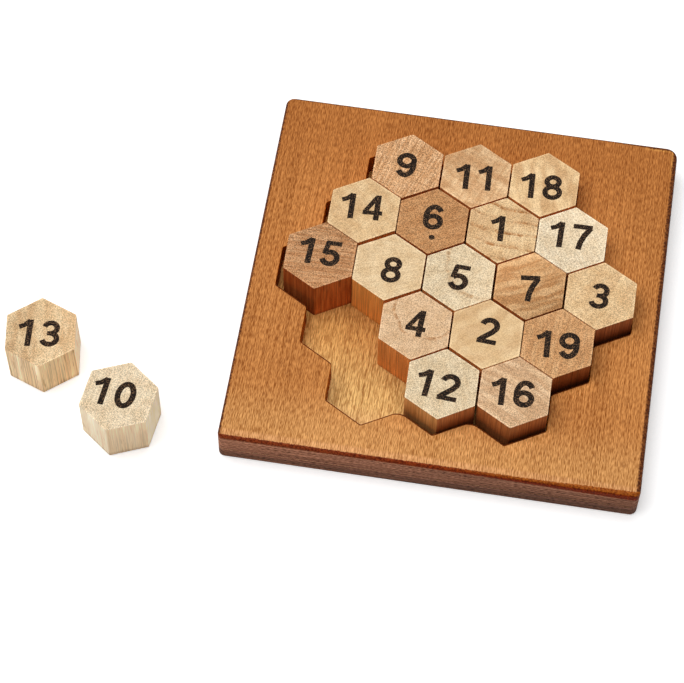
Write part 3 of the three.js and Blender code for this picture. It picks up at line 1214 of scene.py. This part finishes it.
# %% Tile blank
tile_corner_radius = 0.6 * MM
tile_rim_bevel = 0.2 * MM
tile_low, tile_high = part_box("tile_01")
tile_height = tile_high.z - tile_low.z
tile_reach = tile_width * MM / math.sqrt(3)
bpy.ops.object.select_all(action="DESELECT")
bpy.ops.mesh.primitive_cylinder_add(vertices=6, radius=tile_reach, depth=tile_height)
blank = bpy.context.object
blank.name = "tile_blank"
round_edges(blank, upright, rounding_reach(tile_corner_radius), 3)
round_edges(blank, at_height(tile_height / 2), tile_rim_bevel, 2)
round_edges(blank, at_height(-tile_height / 2), tile_rim_bevel, 2)
print("tile blank", len(blank.data.polygons), "faces,", round(tile_height / MM, 2), "mm high")

# %% Tiles in their places
gap_left = 0.32 * MM
side_thickness = 0.21 * MM
neighbour_within = 5 * MM


def turn_of(node):
    middle = middle_of(node)
    arms = [vertex.co.xy - middle.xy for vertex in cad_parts[node].data.vertices]
    longest = max(arm.length for arm in arms)
    tips = [6 * math.atan2(arm.y, arm.x) for arm in arms if arm.length > longest - 0.001 * MM]
    return math.atan2(-sum(map(math.sin, tips)), -sum(map(math.cos, tips))) / 6


def copy_of(piece, name):
    only(piece)
    bpy.ops.object.duplicate()
    copy = bpy.context.object
    copy.name = name
    return copy


def put_down(piece, middle, turn):
    piece.location = middle
    piece.rotation_euler = (0, 0, turn)
    only(piece)
    bpy.ops.object.transform_apply(location=True, rotation=True, scale=True)


def mark_tight_sides(piece, number):
    middle = middle_of("tile_" + number)
    others = {other: middle_of("tile_" + other) for other in looks if other != number}
    tight = piece.data.attributes.new("tight", "FLOAT", "FACE")
    touching = piece.data.attributes.new("touching", "FLOAT", "FACE")
    for face in piece.data.polygons:
        ahead = middle.xy + face.normal.xy * seat_pitch
        nearest = min(others, key=lambda other: (ahead - others[other].xy).length)
        near = (ahead - others[nearest].xy).length < neighbour_within
        tight.data[face.index].value = float(abs(face.normal.z) < 0.5 and near)
        pair = tuple(sorted((number, nearest)))
        touching.data[face.index].value = float(pair in touching_tiles)


def close_gaps(piece, number):
    middle = middle_of("tile_" + number)
    sixth = math.radians(60)
    for pair in touching_tiles:
        if number not in pair:
            continue
        other = pair[0] if pair[1] == number else pair[1]
        apart = (middle_of("tile_" + other) - middle).xy
        turn = turn_of("tile_" + number)
        side = turn + round((math.atan2(apart.y, apart.x) - turn) / sixth) * sixth
        ahead = Vector((math.cos(side), math.sin(side)))
        grow = (apart.dot(ahead) - tile_width * MM - gap_left) / 2
        for point in piece.data.vertices:
            if (point.co - middle).xy.dot(ahead) > tile_width / 2 * MM - side_thickness:
                point.co.xy += ahead * grow


tiles = {}
for number in looks:
    node = "tile_" + number
    tile = copy_of(blank, "wood_" + node)
    put_down(tile, middle_of(node), turn_of(node))
    close_gaps(tile, number)
    mark_tight_sides(tile, number)
    tile.data.materials.append(tile_finish(number, middle_of(node), turn_of(node)))
    smooth_rounded(tile, 40)
    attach(tile, node + "_body")
    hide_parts(node)
    tiles[number] = tile
bpy.data.objects.remove(blank)
print("tiles", len(tiles))

# %% [markdown]
# ## Numerals
# The numbers are stamped in dark ink, in a bold upright hand of even strokes. Text with
# the built-in font has other shapes, so each numeral is drawn with a pen: one point is
# pulled along the stroke, the line is raised by the thickness of the ink and widened to
# the stroke with Solidify, and strokes that meet are joined with Boolean unions. The
# strokes are written for a numeral one unit high, with its lower left corner at zero.

# %% Strokes of the numerals
def arc(x, y, half_width, half_height, start, end, steps=14):
    turns = [math.radians(start + (end - start) * i / steps) for i in range(steps + 1)]
    return [(x + half_width * math.cos(t), y + half_height * math.sin(t)) for t in turns]


stroke = 0.19
numerals = {
    "0": [(arc(0.34, 0.5, 0.245, 0.405, 0, 360, 32), stroke)],
    "1": [([(0.385, 0.0), (0.385, 1.0)], stroke), ([(0.03, 0.72), (0.2, 0.79), (0.385, 0.97)], 0.17)],
    "2": [
        (arc(0.33, 0.68, 0.24, 0.225, 170, -20) + [(0.45, 0.45), (0.16, 0.17), (0.1, 0.08)], stroke),
        ([(0.02, 0.085), (0.66, 0.085)], 0.17),
    ],
    "3": [
        (arc(0.32, 0.705, 0.21, 0.2, 165, -90), 0.18),
        (arc(0.32, 0.305, 0.24, 0.21, 90, -165), 0.18),
        ([(0.22, 0.51), (0.36, 0.51)], 0.16),
    ],
    "4": [
        ([(0.49, 0.0), (0.49, 1.0)], stroke),
        ([(0.44, 0.92), (0.08, 0.3)], 0.16),
        ([(0.02, 0.29), (0.68, 0.29)], 0.165),
    ],
    "5": [
        ([(0.14, 0.905), (0.63, 0.905)], 0.17),
        ([(0.19, 0.96), (0.12, 0.46)], 0.17),
        (arc(0.32, 0.325, 0.245, 0.235, 140, -165), stroke),
    ],
    "6": [
        (arc(0.34, 0.315, 0.245, 0.225, 0, 360, 24), stroke),
        (arc(0.36, 0.5, 0.265, 0.405, 35, 200), stroke),
    ],
    "7": [
        ([(0.02, 0.905), (0.66, 0.905)], 0.18),
        ([(0.6, 0.88), (0.42, 0.58), (0.31, 0.28), (0.27, 0.0)], stroke),
    ],
    "8": [
        (arc(0.34, 0.725, 0.205, 0.185, 7.5, 367.5, 24), 0.18),
        (arc(0.34, 0.3, 0.245, 0.215, 0, 360, 24), 0.18),
    ],
}
numeral_width = 0.68
numerals["9"] = [
    ([(numeral_width - x, 1 - y) for x, y in line], width) for line, width in numerals["6"]
]
print("strokes for", len(numerals), "numerals")

# %% Draw the numerals
numeral_height = 10.2 * MM
ink_depth = 0.08 * MM
lean = math.tan(math.radians(2))


def pen_stroke(line, width):
    closed = (Vector(line[0]) - Vector(line[-1])).length < 0.01
    drawn = draw_line(line)
    if closed:
        bpy.ops.mesh.remove_doubles(threshold=0.005)
    raised = (0, 0, ink_depth / numeral_height)
    bpy.ops.mesh.extrude_region_move(TRANSFORM_OT_translate={"value": raised})
    bpy.ops.object.mode_set(mode="OBJECT")
    apply_modifier(drawn, "SOLIDIFY", thickness=width, offset=0, use_even_offset=True)
    only(drawn)
    bpy.ops.object.mode_set(mode="EDIT")
    face_outwards()
    return drawn


def draw_numeral(figure):
    first, *others = [pen_stroke(line, width) for line, width in numerals[figure]]
    for other in others:
        apply_modifier(first, "BOOLEAN", operation="UNION", solver="EXACT", object=other)
        bpy.data.objects.remove(other)
    first.name = "numeral_" + figure
    first.location = (-numeral_width / 2 * numeral_height, -0.5 * numeral_height, 0)
    first.scale = (numeral_height, numeral_height, numeral_height)
    only(first)
    bpy.ops.object.transform_apply(location=True, rotation=False, scale=True)
    for point in first.data.vertices:
        point.co.x += point.co.y * lean
    return first


drawn = {figure: draw_numeral(figure) for figure in numerals}
print("numerals", {figure: len(piece.data.polygons) for figure, piece in drawn.items()})

# %% Finish: stamped ink
ink_black = colour(0.013, 0.0085, 0.0065)
wood_through = colour(0.24, 0.135, 0.07)
wood_share = 0.75

ink, tree, where, shader = new_finish("stamped_ink")
place = in_millimetres(tree, where)
missed = remap(tree, stretched_noise(tree, place, (0.42, 0.42, 0.42), 2), 0.55, 0.65)
share = arithmetic(tree, "MULTIPLY", missed, wood_share)
ink_colour = mix_colours(tree, share, ink_black, wood_through)
tree.links.new(ink_colour, shader.inputs["Base Color"])
shader.inputs["Roughness"].default_value = 0.7
shader.inputs["Specular IOR Level"].default_value = 0.05

# %% [markdown]
# ## Stamping the tiles
# No stamp came down quite straight. Each tile has its own print: how far its middle lies
# to the right and to the back of the tile's middle, and by how many degrees it is
# turned. The six has a dot below it, so that it isn't taken for a nine. The prints are
# sunk a little into the wood, and what is left above it is the thickness of the ink.

# %% Print the numbers
prints = {
    "01": (-0.8, 0.5, 3), "02": (0.7, 1.4, -4), "03": (-0.2, -0.2, -3), "04": (0.2, 0.8, -2),
    "05": (0.2, -0.2, -3), "06": (0.0, 1.6, 3), "07": (0.2, -1.0, 6), "08": (1.0, -1.0, -2),
    "09": (-0.5, 0.2, 3), "10": (-1.8, 0.7, 4), "11": (0.2, -0.7, 4), "12": (-1.3, -0.7, -5),
    "13": (-0.5, -0.5, -3), "14": (-0.9, 1.2, 3), "15": (-0.2, 1.3, -1), "16": (-0.7, -0.2, 2),
    "17": (-0.7, 1.5, 1), "18": (-0.9, -1.0, 4), "19": (-0.1, -0.7, 3),
}
numeral_spacing = 7.7 * MM
ink_sink = 0.03 * MM
dot_radius = 1.0 * MM
dot_below = 8.3 * MM


def stamp(number):
    node = "tile_" + number
    right, back, angle = prints[number]
    figures = number.lstrip("0")
    pieces = []
    for i, figure in enumerate(figures):
        piece = copy_of(drawn[figure], "stamp")
        put_down(piece, ((i - (len(figures) - 1) / 2) * numeral_spacing, 0, 0), 0)
        pieces.append(piece)
    if number == "06":
        bpy.ops.mesh.primitive_cylinder_add(vertices=24, radius=dot_radius, depth=ink_depth)
        dot = bpy.context.object
        put_down(dot, (0.0, -dot_below, ink_depth / 2), 0)
        pieces.append(dot)
    for piece in pieces:
        piece.select_set(True)
    bpy.context.view_layer.objects.active = pieces[0]
    if len(pieces) > 1:
        bpy.ops.object.join()
    printed = bpy.context.object
    printed.name = "number_" + number
    put_down(printed, (right * MM, back * MM, tile_height / 2 - ink_sink), math.radians(angle))
    put_down(printed, middle_of(node), turn_of(node))
    printed.data.materials.append(ink)
    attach(printed, node + "_body")
    return printed


printed_numbers = {number: stamp(number) for number in looks}
for piece in drawn.values():
    bpy.data.objects.remove(piece)
print("printed", len(printed_numbers), "numbers")
